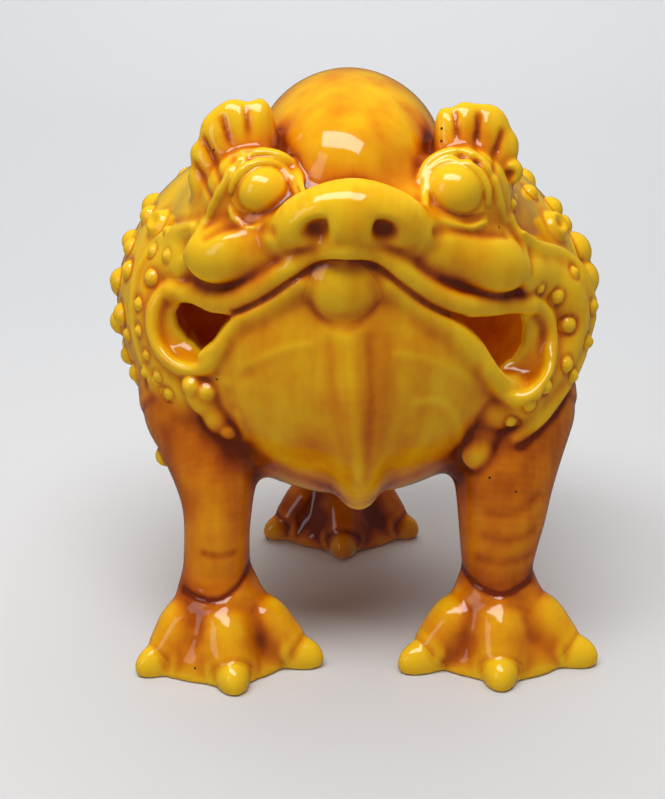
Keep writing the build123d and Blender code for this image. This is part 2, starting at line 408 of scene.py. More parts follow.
def build_crown(clay):
    """The bulging crown and the hump behind it, pressed on between two brows, with soft upright flutes."""
    for sign in (-1, 1):
        clay.add(ball(mirrored(BROW_AT, sign), BROW_SEMI, roll=sign * BROW_ROLL), blend=5)
    crown = melted(CROWN_MELT, ball(CROWN_AT, CROWN_SEMI), ball(HUMP_AT, HUMP_SEMI))
    clay.add(crown, blend=5.0)
    clay.claim("crown_dome", within(crown, above(CROWN_FOOT_Z)))
    for angle, height in FLUTES:
        points = []
        for rise in FLUTE_RISES:
            out = outwards(angle, rise)
            points.append(np.array(CROWN_AT) + out / np.linalg.norm(out / CROWN_SEMI))
        clay.line(points, width=3.2, height=height)


# ---------------------------------------------------------------- face

SNOUT_BOW = (
    (-21, -56.5, 141.8), (-14.5, -59.5, 146.6), (-3, -60.5, 149.2), (8, -59.5, 147), (14.8, -57, 142.6),
)
SNOUT_RADII = (6.8, 8.4, 9.4, 8.6, 7.2)
SEPTUM_AT, SEPTUM_SEMI = (-3.2, -61.5, 144.0), (7.5, 7.5, 7.0)
NOSTRILS = ((7.0, 144.4, 1), (-13.4, 144.4, -1))  # x, z, and the side it leans to
NOSTRIL_SEMI, NOSTRIL_LEAN, NOSTRIL_SUNK = (3.3, 2.9, 3.0), 24, 0.4
NOSTRIL_GROOVE = ((-1.0, 1.0, 2.0), (-3.8, 1.5, 4.6))  # from the nostril, up towards the bridge
CHEEKS = {  # (x, z), semi-axes, roll, and how far the middle lies under the skin
    "left": ((35.0, 131.4), (16.5, 9.5, 10.6), 20, 6.6),
    "right": ((-36.5, 134.2), (15.0, 9.5, 9.8), -12, 6.6),
}
CHEEK_YAW = 12
CHEEK_TOPS = (
    ((-45, 139.6), (-38, 143), (-31, 144.4), (-25.5, 143.6)),
    ((21.5, 143), (28, 142.6), (36, 140.6), (43, 139)),
)
CHEEK_FOLDS = (
    ((46, 142), (49, 135), (50.5, 128), (50.8, 121)),
    ((-46, 142), (-50.3, 135), (-52.6, 128), (-53.6, 121.5)),
)
MOUTH_LINE = (
    (-37, 117.4), (-34.4, 118.6), (-27.2, 123.2), (-19.6, 129.6), (-12.2, 134.4), (-5, 136.2),
    (3.5, 134.6), (11, 128.8), (18.5, 122.4), (24.5, 118.6), (31, 115.6),
)
LIP_BAND = (  # x, z and lift
    (-55.5, 118.6, -1), (-50, 119.2, -0.5), (-43, 119.2, -0.5), (-36, 121.2, -0.7), (-28.5, 126.5, -0.8),
    (-20.5, 132.7, -0.9), (-12.5, 137.4, -1), (-4.6, 139.2, -1), (4, 137.6, -1), (12, 132.2, -0.9),
    (19, 126.3, -0.8), (26, 121.8, -0.7), (35, 118.6, -0.5), (45, 116.4, -0.5), (52, 115, -1),
)
LIP_RADII = (2.2, 2.6, 3.1, 3.3, 3.2, 3.0, 2.8, 2.7, 2.8, 3.0, 3.2, 3.3, 3.1, 2.6, 2.2)
LIP_GROOVES = (
    ((-53, 122.6), (-47.5, 121.6), (-39.5, 123), (-31, 127.4), (-24, 132.8)),
    ((17, 133.4), (23.8, 128.4), (31.5, 123.4), (40.4, 119.6), (49, 118.4)),
)
JAW_EDGES = (
    ((-45.5, 103.6), (-41, 109), (-36.6, 114.2), (-31, 118), (-22.6, 124.2), (-17, 128.6)),
    ((8.6, 128.2), (12.4, 125), (20.6, 118), (28, 111.8), (35.4, 103.4), (41.8, 95.6), (47, 91.6)),
)
JAW_FOOT = (  # the rest of the way round the jaw, from the left end of the mouth line
    (37.6, 105.1), (44, 96.5), (50, 90), (44, 77), (36, 63), (20, 50), (1, 40),
    (-20, 50), (-36, 63), (-46, 78), (-50, 93), (-47.5, 101), (-41.8, 107.6),
)
JAW_LINES = (  # (x, z) places of each ridge or groove down the jaw, its width and its height
    (((-9, 112), (-7.8, 98), (-5.4, 82), (-3, 66)), 2, -0.2),
    (((2.6, 113), (3.2, 98), (2.6, 84), (2.2, 66)), 1.8, -0.3),
    (((-3.6, 112), (-2.4, 98), (-1.2, 84), (0.2, 66)), 1.7, 0.25),
    (((-39.8, 94.5), (-32.6, 102.4), (-22.4, 108.3), (-15, 110.4)), 1.5, 0.22),
    (((-38.6, 92.5), (-36.5, 84), (-34, 76)), 1.6, 0.3),
    (((10.9, 107.7), (21.2, 104.6), (32.1, 97.5), (38.4, 92.6)), 1.5, 0.2),
    (((16.7, 91.9), (23.8, 90.8), (29.1, 84.7), (31.7, 71.5)), 1.6, 0.32),
    (((-37.6, 97), (-33, 99.8)), 2.4, -0.4),
    (((-39, 92), (-37.6, 87)), 2.2, -0.6),
)
KEEL_TOP, KEEL_SUNK = ((-3.5, 112), (-1.5, 95), (0, 80)), 4.6  # (x, z) places, and how deep they lie
KEEL_FOOT = ((0.4, -51.5, 64), (0.6, -44.5, 54.5))
KEEL_RADII = (3.0, 4.6, 5.8, 5.4, 4.0)
BOSS_AT, BOSS_SUNK, BOSS_SEMI = (-4.8, 127.6), 2.8, (10.2, 6, 10.6)
BOSS_UNDER = ((-14.4, 122.4), (-11.6, 118.2), (-7.4, 116.0), (-2.6, 116.0), (1.6, 118.6), (4.6, 122.6))


def build_snout(clay):
    """The broad bowed nose with its septum, and a nostril pressed into each side."""
    clay.add(rope(SNOUT_BOW, SNOUT_RADII), blend=2.6, node="snout")
    clay.add(ball(SEPTUM_AT, SEPTUM_SEMI), blend=5.0, node="snout")
    for x, z, side in NOSTRILS:
        spot = clay.face([(x, z)])[0]
        hole = ball(spot + (0, NOSTRIL_SUNK, 0), NOSTRIL_SEMI, roll=side * NOSTRIL_LEAN)
        clay.carve(hole, blend=3.2)
        clay.line([spot + mirrored(place, side) for place in NOSTRIL_GROOVE], width=2.6, height=-1.1)


def build_cheeks(clay):
    """A low pillow of clay for each cheek, a crease over it and a fold that runs down beside it."""
    for side, sign in SIDES:
        place, semi, roll, depth = CHEEKS[side]
        spot = clay.face([place])[0]
        pillow = ball(spot + (0, depth, 0), semi, yaw=sign * CHEEK_YAW, roll=roll)
        clay.add(pillow, blend=2.4, node=f"{side}_cheek")
    for top in CHEEK_TOPS:
        clay.line(clay.face(top), width=1.8, height=-0.9)
    for fold in CHEEK_FOLDS:
        clay.line(clay.face(fold), width=1.8, height=0.9)


def build_jaw(clay):
    """The lower jaw: claimed under the mouth line, with its ridges, its keel and the boss on the chin."""
    front = outline([*MOUTH_LINE, *JAW_FOOT], FACE_FRONT_Y, HEAD_BACK_Y)
    clay.claim("lower_jaw", within(front, ball(CHIN_AT, CHIN_SEMI).distance))
    keel = np.vstack([clay.face(KEEL_TOP, -KEEL_SUNK), KEEL_FOOT])
    clay.add(rope(keel, KEEL_RADII), blend=9, node="lower_jaw")
    for points, width, height in JAW_LINES:
        clay.line(clay.face(points), width, height)
    spot = clay.face([BOSS_AT])[0]
    clay.add(ball(spot + (0, BOSS_SUNK, 0), BOSS_SEMI), blend=1.6, node="chin_boss")
    clay.line(clay.face(BOSS_UNDER), width=1.3, height=-0.22)


HOLES = {
    "left": (
        (25, 118.2), (32, 115.6), (41, 114.4), (49, 113.4), (50.6, 108.4), (50.2, 102.4), (47.4, 97.6),
        (43.6, 99.4), (38, 106), (31, 113),
    ),
    "right": (
        (-53.4, 115.6), (-49.5, 116.6), (-44, 115.4), (-37, 116.4), (-39.8, 112.4), (-43.6, 107),
        (-47.6, 103.4), (-51.6, 104), (-54.4, 107.6), (-55.2, 112),
    ),
}
RIMS = {  # x, z and lift
    "left": (
        (46, 117.4, -0.4), (53, 115.6, 0.4), (58, 110.6, 0.8), (59.6, 104, 0.9), (58.6, 97, 0.9),
        (54.6, 90.6, 0.8), (48.8, 88.4, 0.5), (43.6, 91, 0.2), (38, 98.4, -0.4),
    ),
    "right": (
        (-49.5, 121.2, -0.4), (-56.6, 119.6, 0.4), (-61.2, 114.4, 0.8), (-62.2, 107.6, 0.9),
        (-60, 101.6, 0.9), (-54.6, 97.4, 0.8), (-48.6, 97.2, 0.5), (-44, 100.6, 0.2),
        (-40.4, 106.6, -0.4),
    ),
}
RIM_RADII = (1.3, 1.7, 2.0, 2.1, 2.1, 2.0, 1.9, 1.7, 1.3)
FUNNELS = {"left": ((47.6, 103.2), (12.6, 7.5, 11.6)), "right": ((-51.6, 109.0), (11.4, 7.5, 9.6))}
FUNNEL_LIFT = 1.0
HOLE_DEPTHS = (-80, -12)
JAW_EDGE_LIFT, JAW_EDGE_R = -1.6, 2.4
BAND_DIP = 1.2   # how far behind the plain head the lips may lie
NO_HEAD = 50.0   # a depth behind everything


def build_mouth_corners(clay):
    """The rolled rim round each corner of the mouth, and the funnel that slopes in from it."""
    for side, _ in SIDES:
        clay.add(rope(clay.face(RIMS[side]), RIM_RADII), blend=3.0, node=f"{side}_mouth_corner")
    for side, _ in SIDES:
        place, semi = FUNNELS[side]
        clay.carve(ball(clay.face([place], FUNNEL_LIFT)[0], semi), blend=1.6)


def build_lips(clay):
    """The upper lip over its groove, and the rolled edge of the lower jaw."""
    for groove in LIP_GROOVES:
        clay.line(clay.face(groove), width=3.0, height=-1.0)
    lip = clay_band(clay, LIP_BAND)
    for edge in JAW_EDGES:
        roll = clay_band(clay, [(x, z, JAW_EDGE_LIFT) for x, z in edge])
        clay.add(rope(roll, JAW_EDGE_R), blend=4.0, node="lower_jaw")
    clay.add(rope(lip, LIP_RADII), blend=2.6, node="upper_lip")


def clay_band(clay, points):
    """Places along the front, kept level with the face where it has been hollowed out."""
    places = clay.face(points)
    places[:, 1] = np.minimum(places[:, 1], front_of_head(places[:, 0], places[:, 2]) + BAND_DIP)
    return places


def front_of_head(x, z):
    """How far forward the plain head and chin reach at (x, z)."""
    depth = np.full(np.shape(x), NO_HEAD)
    for at, semi in ((BODY_AT, BODY_SEMI), (HEAD_AT, HEAD_SEMI), (CHIN_AT, CHIN_SEMI)):
        inside = 1 - ((x - at[0]) / semi[0]) ** 2 - ((z - at[2]) / semi[2]) ** 2
        front = at[1] - semi[1] * np.sqrt(np.maximum(inside, 0))
        depth = np.minimum(depth, np.where(inside > 0, front, NO_HEAD))
    return depth


def open_mouth(clay):
    """The crease between lip and jaw, and the holes through the wall at its ends."""
    clay.line(clay.face(MOUTH_LINE, -0.5), width=1.0, height=-1.1)
    for side, _ in SIDES:
        clay.carve(outline(HOLES[side], *HOLE_DEPTHS), blend=1.6)


# ---------------------------------------------------------------- eyes and crests

EYE_SEMI = {"left": (8.5, 8.0, 8.1), "right": (8.0, 7.8, 7.7)}
LID_AHEAD, LID_BEHIND = 8.0, 3.0  # how far from the middle of the eye a lid may lie
UPPER_LIDS = {  # (outwards, up) from the middle of the eye
    "left": ((-9.4, -2.6), (-8.0, 4.0), (-3.4, 7.9), (1.6, 8.4), (6.2, 6.2), (9.2, 1.2), (9.8, -3.0)),
    "right": ((-11.4, -0.6), (-9.2, 2.4), (-5.6, 6.6), (-1.4, 8.5), (3.4, 8.0), (7.2, 5.0), (9.2, 0.8)),
}
OUTER_LIDS = {
    "left": ((-10.6, 2.6), (-7.4, 7.4), (-1.0, 10.6), (5.6, 9.6), (10.4, 4.8), (13.4, -3.4), (15.6, -9.8)),
    "right": (
        (-11.8, 2), (-9.6, 5.8), (-6.2, 9.2), (-1, 10.8), (4, 10), (8.4, 6.8), (11.4, 1.8),
        (14.6, -4.2), (17, -10.2),
    ),
}
LOWER_LIDS = {
    "left": ((-9.8, -2.6), (-7.0, -6.2), (-0.8, -8.4), (4.8, -9.6), (8.8, -8.4)),
    "right": ((-11.6, -1.4), (-8.0, -4.6), (-2.4, -7.6), (4.0, -8.4), (8.0, -7.2), (9.6, -4.2)),
}
PETALS = {  # tip (x, z), root (x, z) and half width of each petal of the crest
    "left": (
        ((25.8, 173.2), (28.6, 156), 3.6), ((32, 174.8), (31.4, 154), 5),
        ((40.4, 171.6), (35.6, 152), 5.6), ((46.8, 165), (38.4, 150), 4.6),
    ),
    "right": (
        ((-28.8, 176.4), (-29.6, 156), 5.2), ((-37, 175.8), (-32.6, 154), 6.4),
        ((-43.6, 169.8), (-36, 152), 4.6), ((-48.4, 162.4), (-39, 148), 4.2),
        ((-49.4, 155), (-42, 143), 3.6),
    ),
}
PETAL_DEPTH = 4.6
FAN_AT, FAN_SEMI, FAN_ROLL = (35.6, 162.5), (9.5, 3.8, 12.5), 28
CREST_TILT = -8
CREST_GROOVE = (0.34, 0.62, 0.9)  # shares of the way up from root to tip
CURL_AT, CURL_R, CURL_HOLE_R = np.array([45.6, -34.0, 154.6]), 4.0, 1.8
EYE_SHIFT = (-0.4, -1.4, 0.8)     # from the middle of the CAD eye
SOCKET_SHIFT, SOCKET_SEMI = (3.0, 6.0, -0.5), (12, 9.5, 11.8)
LIDS = ((OUTER_LIDS, 1.5, -0.3), (LOWER_LIDS, 1.2, 0.2), (UPPER_LIDS, 1.3, 0.4))  # points, radius, lift
LID_END_R = 0.7


def build_eyes(clay):
    """The eyeball set snugly between an upper lid, an outer fold and a lower lid."""
    for side, sign in SIDES:
        eye = centre_of(f"{side}_eye") + mirrored(EYE_SHIFT, sign)
        clay.add(ball(eye + mirrored(SOCKET_SHIFT, sign), SOCKET_SEMI), blend=5)
        clay.add(ball(eye, EYE_SEMI[side]), blend=0.4, node=f"{side}_eye")
        for points, radius, lift in LIDS:
            line = clay.face([(eye[0] + sign * out, eye[2] + up) for out, up in points[side]], lift)
            line[:, 1] = np.clip(line[:, 1], eye[1] - LID_AHEAD, eye[1] + LID_BEHIND)
            radii = [LID_END_R] + [radius] * (len(line) - 2) + [LID_END_R]
            clay.add(rope(line, radii), blend=0.9, node=f"{side}_eyelid")


def build_crests(clay):
    """The fan of petals over each eye, with a groove between each pair, and one curl."""
    for side, sign in SIDES:
        crest = f"{side}_brow_crest"
        depth = centre_of(crest)[1]
        fan_at = (sign * FAN_AT[0], depth, FAN_AT[1])
        clay.add(ball(fan_at, FAN_SEMI, tilt=CREST_TILT, roll=sign * FAN_ROLL), blend=5.0, node=crest)
        petals = [(np.array(tip), np.array(root), half) for tip, root, half in PETALS[side]]
        for tip, root, half in petals:
            x, z = (tip + root) / 2
            lean = math.degrees(math.atan2(*(tip - root)))
            semi = (half, PETAL_DEPTH, math.dist(tip, root) / 2)
            petal = ball((x, depth, z), semi, tilt=CREST_TILT, roll=lean)
            clay.add(petal, blend=3.4, node=crest)
        for (tip, root, _), (next_tip, next_root, _) in zip(petals, petals[1:]):
            top, foot = (tip + next_tip) / 2, (root + next_root) / 2
            points = [top * share + foot * (1 - share) for share in CREST_GROOVE]
            clay.line(clay.face(points), width=1.1, height=-0.75)
    clay.add(ball(CURL_AT, CURL_R), blend=1.0, node="left_brow_crest")
    clay.carve(ball(CURL_AT - (0, CURL_R, 0), CURL_HOLE_R), blend=1.2)


# ---------------------------------------------------------------- sides

COLLAR_RIDGE = {  # the sharp outer edge of the collar
    "left": (
        (50, -42, 138), (54.5, -36.2, 132.8), (64.2, -26.6, 127.4), (71.4, -23.6, 119.6),
        (75, -21.2, 107.8), (74, -22.6, 101), (71.8, -26, 94.6), (67, -32.6, 88.4),
        (61.2, -39, 83.6), (55.6, -43.6, 79), (49.8, -46, 74.6),
    ),
    "right": (
        (-49.5, -41, 140.4), (-55.8, -28, 135), (-60.8, -22.6, 130.4), (-64.4, -21, 125.2),
        (-67, -21, 119.5), (-68.4, -22.6, 113), (-68.6, -24, 106.5), (-67.8, -25.6, 100),
        (-65.8, -28, 94.4), (-62.6, -31, 89.8), (-58, -34.4, 85.6), (-52.8, -37.6, 81.8),
        (-48, -40, 78.6),
    ),
}
MOUTH_CORNER_AT = {"left": np.array([46.0, -45.0, 103.0]), "right": np.array([-46.0, -45.0, 109.0])}
BAND_INSET, BAND_R, BAND_SINK = 7.5, 8.8, 4.6
RIDGE_R, RIDGE_END_R, GROOVE_INSET = 1.5, 0.5, 2.6
COLLAR_BUTTONS = {  # longitude, latitude and radius
    "left": (
        (45, 33, 1.5), (61, 14, 1.6), (49, 13, 1.2), (55, 9.8, 1.8), (67, 4.4, 1.9), (58, 2.4, 2.2),
        (65, -3.2, 2), (55, -5.8, 2.1), (58, -9.2, 1.7), (47, -9, 1.9), (42.6, -12.7, 1.6),
        (40.3, -17.7, 1.5),
    ),
    "right": (
        (-58, 26, 1.4), (-61.6, 20, 1.6), (-53.9, 20.4, 1.5), (-58.5, 14.3, 2), (-60.8, 7.4, 1.7),
        (-60.2, 1.2, 1.6), (-57.2, -3.9, 1.4), (-59, -8.6, 1.4), (-53.6, -8.2, 1.4),
        (-50.6, -12, 1.4),
    ),
}
FLANK_WARTS = {  # longitude, latitude, radius
    "left": (
        (88, 13, 5.6), (86, 6, 5.8), (84, 0, 5), (82, -9, 3.2), (80, -18, 3), (86, 26, 3.6),
        (76, 34, 2.6), (94, -4, 3.2), (96, 18, 3.6), (98, 5, 4), (92, -20, 2.8), (104, -12, 3.4),
        (106, 12, 4.2), (108, 30, 4.4), (110, -1, 3.4), (116, -20, 3.2), (119, 8, 4.2), (122, 22, 3.8),
        (126, -8, 3.4), (132, 34, 4.2), (134, 10, 4), (140, -20, 3.2), (144, 22, 4), (148, -2, 3.8),
        (157, 10, 3.4), (104, -30, 2.8), (128, -32, 2.8), (156, 38, 3.6),
    ),
    "right": (
        (75.3, 12, 2.6), (76.5, 0.5, 3.3), (84, 7, 3.6), (83.3, -3.4, 3.8), (72.3, -3.4, 1.9),
        (73.3, -13.9, 2.8), (73.4, -24.4, 3.2), (58.5, -29.7, 3), (80.8, -11.5, 3),
        (82.2, 16.2, 2.8), (78, -18, 2.2), (84, 25, 3), (90, 16, 3.4), (92, -12, 3), (94, 3, 3.8),
        (100, 24, 4), (104, -4, 3.6), (106, 10, 4.2), (112, -18, 3.2), (116, 30, 4.4), (118, 2, 3.8),
        (124, 16, 4), (128, -10, 3.4), (136, 4, 4), (138, 30, 4.2), (142, -22, 3.2), (148, 16, 4),
        (150, -6, 3.6), (158, 4, 3.2), (108, -32, 2.8), (132, -33, 2.8), (158, 34, 3.6),
    ),
}
BACK_WARTS = (
    (180, 8, 5), (180, 28, 5.4), (168, 18, 4.2), (192, 18, 4.2), (170, -6, 4), (190, -6, 4),
    (180, -18, 3.6), (168, 34, 3.8), (192, 34, 3.8),
)
WART_ROOT = 2.0   # how far a wart reaches into the wall
SIDE_SPREAD = 1.15  # how much wider the warts of the sides are than their radius in the tables
COLLAR_RISE, FLANK_RISE, BACK_RISE = 0.65, 0.7, 0.42  # how far they stand up, in radii
RING_SHARE = 1.2  # radius of the pressed ring round a wart, in radii
CUPS = {"left": (72, 24, 5.4), "right": (-71, 26, 4.8)}
KNOB_SUNK, HOLE_OUT, HOLE_SHARE, HOLE_AHEAD = 0.2, 0.75, 0.5, 1.5  # in radii, and the last one in mm
LOBES = {  # (x, z), (half width, half height) and roll of the flat lumps under each mouth corner
    "left": (((40.6, 82.6), (8.6, 5.6), 12), ((37.4, 76.0), (6.2, 9.5), -12), ((37.2, 69.6), (5.0, 6.0), 0)),
    "right": (
        ((-46.6, 88.4), (5.4, 7.4), -32), ((-42.4, 81.4), (4.6, 6.4), -32), ((-50.6, 92), (3, 3), 0),
        ((-45.6, 90.6), (3, 3), 0), ((-39.4, 77.4), (2.8, 2.8), 0),
    ),
}
LOBE_DEPTH, LOBE_SUNK = 3.4, 0.45  # half depth, and the share of it under the skin


def build_collars(clay):
    """The raised band behind each mouth corner, and its sharp outer edge over a groove."""
    for side, _ in SIDES:
        ridge = np.array(COLLAR_RIDGE[side])
        inward = MOUTH_CORNER_AT[side] - ridge
        inward /= np.linalg.norm(inward, axis=1, keepdims=True)
        spine = (ridge + BAND_INSET * inward)[1:-1]
        sunk = spine - BODY_AT
        spine = spine - BAND_SINK * sunk / np.linalg.norm(sunk, axis=1, keepdims=True)
        clay.add(rope(spine, BAND_R), blend=5.0, node=f"{side}_collar")
        clay.line(ridge - inward * GROOVE_INSET, width=1.9, height=-1.2)
        radii = [RIDGE_END_R] + [RIDGE_R] * (len(ridge) - 2) + [RIDGE_END_R]
        clay.add(rope(ridge, radii), blend=4.5, node=f"{side}_collar")


def deeper_than(spot, normal, depth):
    """A limit that is above zero further under the skin than a depth."""

    def limit(x, y, z):
        return -((x - spot[0]) * normal[0] + (y - spot[1]) * normal[1] + (z - spot[2]) * normal[2]) - depth

    return limit


def press_wart(clay, longitude, latitude, radius, node, rise):
    """A domed wart that stands up by a share of its radius, in a pressed ring."""
    spot, normal = clay.flank(longitude, latitude)
    height = radius * rise
    curve = (radius**2 + height**2) / (2 * height)
    across = np.cross(normal, (0, 0, 1))
    across /= np.linalg.norm(across)
    up = np.cross(across, normal)
    turns = np.linspace(0, 2 * math.pi, 9)
    ring = [spot + radius * RING_SHARE * (across * math.cos(t) + up * math.sin(t)) for t in turns]
    clay.line(ring, width=0.9, height=-0.5, steps=2)
    dome = ball(spot - normal * (curve - height), curve)
    clay.add(within(dome, deeper_than(spot, normal, WART_ROOT)), blend=0.6, node=node)


def press_cup(clay, longitude, latitude, radius, node):
    """A round knob with a deep cup in its middle."""
    spot, normal = clay.flank(longitude, latitude)
    knob = ball(spot - normal * radius * KNOB_SUNK, radius)
    clay.add(within(knob, deeper_than(spot, normal, WART_ROOT)), blend=1.5, node=node)
    hole_at = spot + normal * radius * HOLE_OUT + (0, -HOLE_AHEAD, 0)
    clay.carve(ball(hole_at, radius * HOLE_SHARE), blend=1.6)


def build_warts(clay):
    """The buttons on the collars, the warts and the cup on each flank, and the warts on the back."""
    for side, sign in SIDES:
        for longitude, latitude, radius in COLLAR_BUTTONS[side]:
            node = f"{side}_collar_warts"
            press_wart(clay, longitude, latitude, radius * SIDE_SPREAD, node, COLLAR_RISE)
        for longitude, latitude, radius in FLANK_WARTS[side]:
            node = f"{side}_flank_warts"
            press_wart(clay, longitude * sign, latitude, radius * SIDE_SPREAD, node, FLANK_RISE)
        press_cup(clay, *CUPS[side], f"{side}_flank_warts")
    for longitude, latitude, radius in BACK_WARTS:
        press_wart(clay, longitude, latitude, radius, "back_warts", BACK_RISE)


def build_lobes(clay):
    """The scalloped lobe of flat lumps under each mouth corner."""
    for side, _ in SIDES:
        for place, (wide, tall), roll in LOBES[side]:
            spot = clay.face([place])[0] + (0, LOBE_DEPTH * LOBE_SUNK, 0)
            lump = ball(spot, (wide, LOBE_DEPTH, tall), roll=roll)
            clay.add(lump, blend=1.2, node=f"{side}_collar_lobe")


# ---------------------------------------------------------------- legs and feet

LEGS = {  # x, y, z and radius, from the ankle up
    "left_front_leg": (
        (45.2, -42.5, 20, 12.6), (45.1, -42.5, 28, 11.2), (45.6, -41.5, 38, 12.3), (46.5, -39.5, 48, 14.2),
        (47.2, -35.5, 58, 16.2), (48, -29, 68, 19), (48.5, -21, 78, 23),
    ),
    "right_front_leg": (
        (-43.8, -42.5, 20, 12.8), (-44.1, -42.5, 29, 10.7), (-43.9, -42, 41, 10.2), (-43.7, -40, 51, 11.2),
        (-44.2, -36, 60, 13.6), (-45, -29, 69, 17.5), (-46.5, -21, 79, 22),
    ),
    "hind_leg": (
        (-2, 54, 20, 12.6), (-2, 54, 31, 11.6), (-1.5, 51, 44, 13.5), (-1, 45, 56, 17.5), (0, 38, 69, 22.5),
    ),
}
TOES = {  # angle outwards from straight ahead, and reach to the tip of the claw
    "left_front": ((-62, 36.5), (-3, 31.0), (66, 34.0)),
    "right_front": ((-70, 35.0), (-11, 31.5), (56, 31.0)),
    "hind": ((-68, 31.0), (0, 31.0), (68, 31.0)),
}
CLAW_SEMI = {"left_front": (6.0, 11.0, 7.2), "right_front": (5.7, 10.6, 7.0), "hind": (5.4, 9.8, 6.6)}
CLAW_Z = 2.8
WEB_SEMI, WEB_AHEAD = (21, 15, 12.5), 8
HEEL_TOP, HEEL_LOW, HEEL_AHEAD, HEEL_RADII = 22, 5, 7, (10.5, 14)
TOE_RINGS = (  # height, share of the way from the ankle to the cuff, and radius
    (18.5, 0.10, 9.6), (14.6, 0.46, 8.2), (12.4, 0.62, 8.6), (7.2, 0.88, 7.2),
)
CUFF_HALF, CUFF_LOW, CUFF_RISE = 6.7, 3.6, 7.2  # half width, height of the ends and rise over them
CUFF_AHEAD, CUFF_LEAN = 1.0, 2.6  # the ends lie ahead and the top leans back
CUFF_TUCK = 0.4  # how far the ends of the arc turn under, in radians


def build_legs(clay):
    """The three legs, each with the foot it stands on."""
    for node, rings in LEGS.items():
        leg = rope([ring[:3] for ring in rings], [ring[3] for ring in rings])
        clay.add(leg, blend=7, node=node)
        foot = node.replace("_leg", "")
        build_foot(clay, foot, rings[0][:2], -1 if foot.startswith("right") else 1)


def build_foot(clay, name, ankle, sign):
    """Three knuckled toes that slope down from the ankle in a full web, each with a claw in a cuff."""
    x, y = ankle
    heel = rope([(x, y, HEEL_TOP), (x, y - HEEL_AHEAD, HEEL_LOW)], HEEL_RADII)
    clay.add(heel, blend=4, node=f"{name}_foot")
    clay.add(ball((x, y - WEB_AHEAD, 0), WEB_SEMI), blend=5, node=f"{name}_foot")
    claws = []
    for angle, reach in TOES[name]:
        a = math.radians(angle * sign)
        way = np.array([math.sin(a), -math.cos(a), 0])
        cuff = reach - CLAW_SEMI[name][1]
        toe = [np.array((x, y, height)) + way * cuff * share for height, share, _ in TOE_RINGS]
        clay.add(rope(toe, [radius for *_, radius in TOE_RINGS]), blend=4.0, node=f"{name}_foot")
        claws.append((way, np.array((x, y, 0)) + way * cuff, angle * sign))
    for way, spot, turn in claws:
        across = np.array([-way[1], way[0], 0])
        turns = np.linspace(-CUFF_TUCK, math.pi + CUFF_TUCK, 9)
        arc = [
            across * CUFF_HALF * math.cos(t) + np.array([0, 0, CUFF_LOW + CUFF_RISE * math.sin(t)])
            for t in turns
        ]
        lean = [way * (CUFF_AHEAD - CUFF_LEAN * math.sin(t)) for t in turns]
        clay.line([spot + a + b for a, b in zip(arc, lean)], width=1.3, height=0.9, steps=2)
        claw = ball(spot + (0, 0, CLAW_Z), CLAW_SEMI[name], yaw=turn)
        clay.add(claw, blend=1.2, node=f"{name}_claws")


LEG_CREASES = (  # (x, z) places across the front of a leg, width and height
    (((33.5, 30), (38.4, 26.2), (46.3, 25), (54.8, 27)), 0.9, -0.6),
    (((38, 36.2), (45, 35.4), (54, 36.2)), 1.8, -0.22),
    (((39.5, 43.6), (47, 42.8), (55, 45)), 1.9, -0.22),
    (((41, 51.4), (48, 51.8), (56.5, 56)), 2, -0.22),
    (((-54.6, 24.8), (-48.2, 24.2), (-42.4, 24.8), (-36.6, 28), (-32.6, 33.2)), 0.9, -0.65),
    (((-48, 38.6), (-43, 37.9), (-38.5, 38.4)), 1.3, -0.3),
)


def crease_legs(clay):
    """The ankle creases and the soft wrinkles up the front of the legs."""
    for points, width, height in LEG_CREASES:
        clay.line(clay.face(points), width, height)


def stand_flat(clay):
    """The soles are flat where the feet stand."""
    floor = clay.axes[2][None, None, :]
    clay.field = -soft_min(-clay.field, floor, blend=0.6).astype(np.float32)


HAND_WAVE = 0.16  # how far a finger leaves the clay up or down


def hand_finish(clay):
    """The slight unevenness that a hand leaves in clay: two slow waves that don't line up."""
    x, y, z = np.ix_(*clay.axes)
    round_wave = np.sin(x / 7.3 + 1.3 * np.sin(z / 11.0)) * np.sin(y / 8.1 + 0.7)
    up_wave = np.sin(z / 6.7 + 1.1 * np.sin(y / 9.0 + x / 13.0))
    clay.field += (HAND_WAVE * (round_wave + up_wave)).astype(np.float32)


GLAZE_POOLS = (  # (x, z) places across the front where the glaze has pooled, width and amount
    (((-50, 121), (-44, 121.4), (-37, 123.6), (-30, 128.2), (-24, 133.4)), 2.6, 0.26),
    (((17, 133.4), (23.8, 128.4), (31.5, 123.4), (40.4, 119.6), (49, 118.4)), 2.6, 0.26),
    (((-38, 78), (-29, 68), (-18, 61), (-6, 57)), 5.5, 0.38),
    (((6, 57), (17, 61), (29, 69), (38, 78)), 5.5, 0.38),
    (((-26, 176), (-24, 166), (-20, 159)), 3, 0.22),
    (((23.5, 176), (22, 166), (17, 159)), 3, 0.22),
    (((-56, 118), (-60.5, 109), (-57, 100)), 2.2, 0.16),
    (((56, 113), (58, 104), (54, 94)), 2.2, 0.16),
    (((-56, 34), (-54, 24), (-50, 16)), 4, 0.2),
    (((34, 30), (45, 25), (55, 28)), 3.2, 0.2),
    (((-56, 25), (-44, 25), (-33, 32)), 3.2, 0.2),
)


def pool_glaze(clay):
    """Marks where the glaze has pooled."""
    for points, width, amount in GLAZE_POOLS:
        clay.stain(clay.face(points), width, amount)


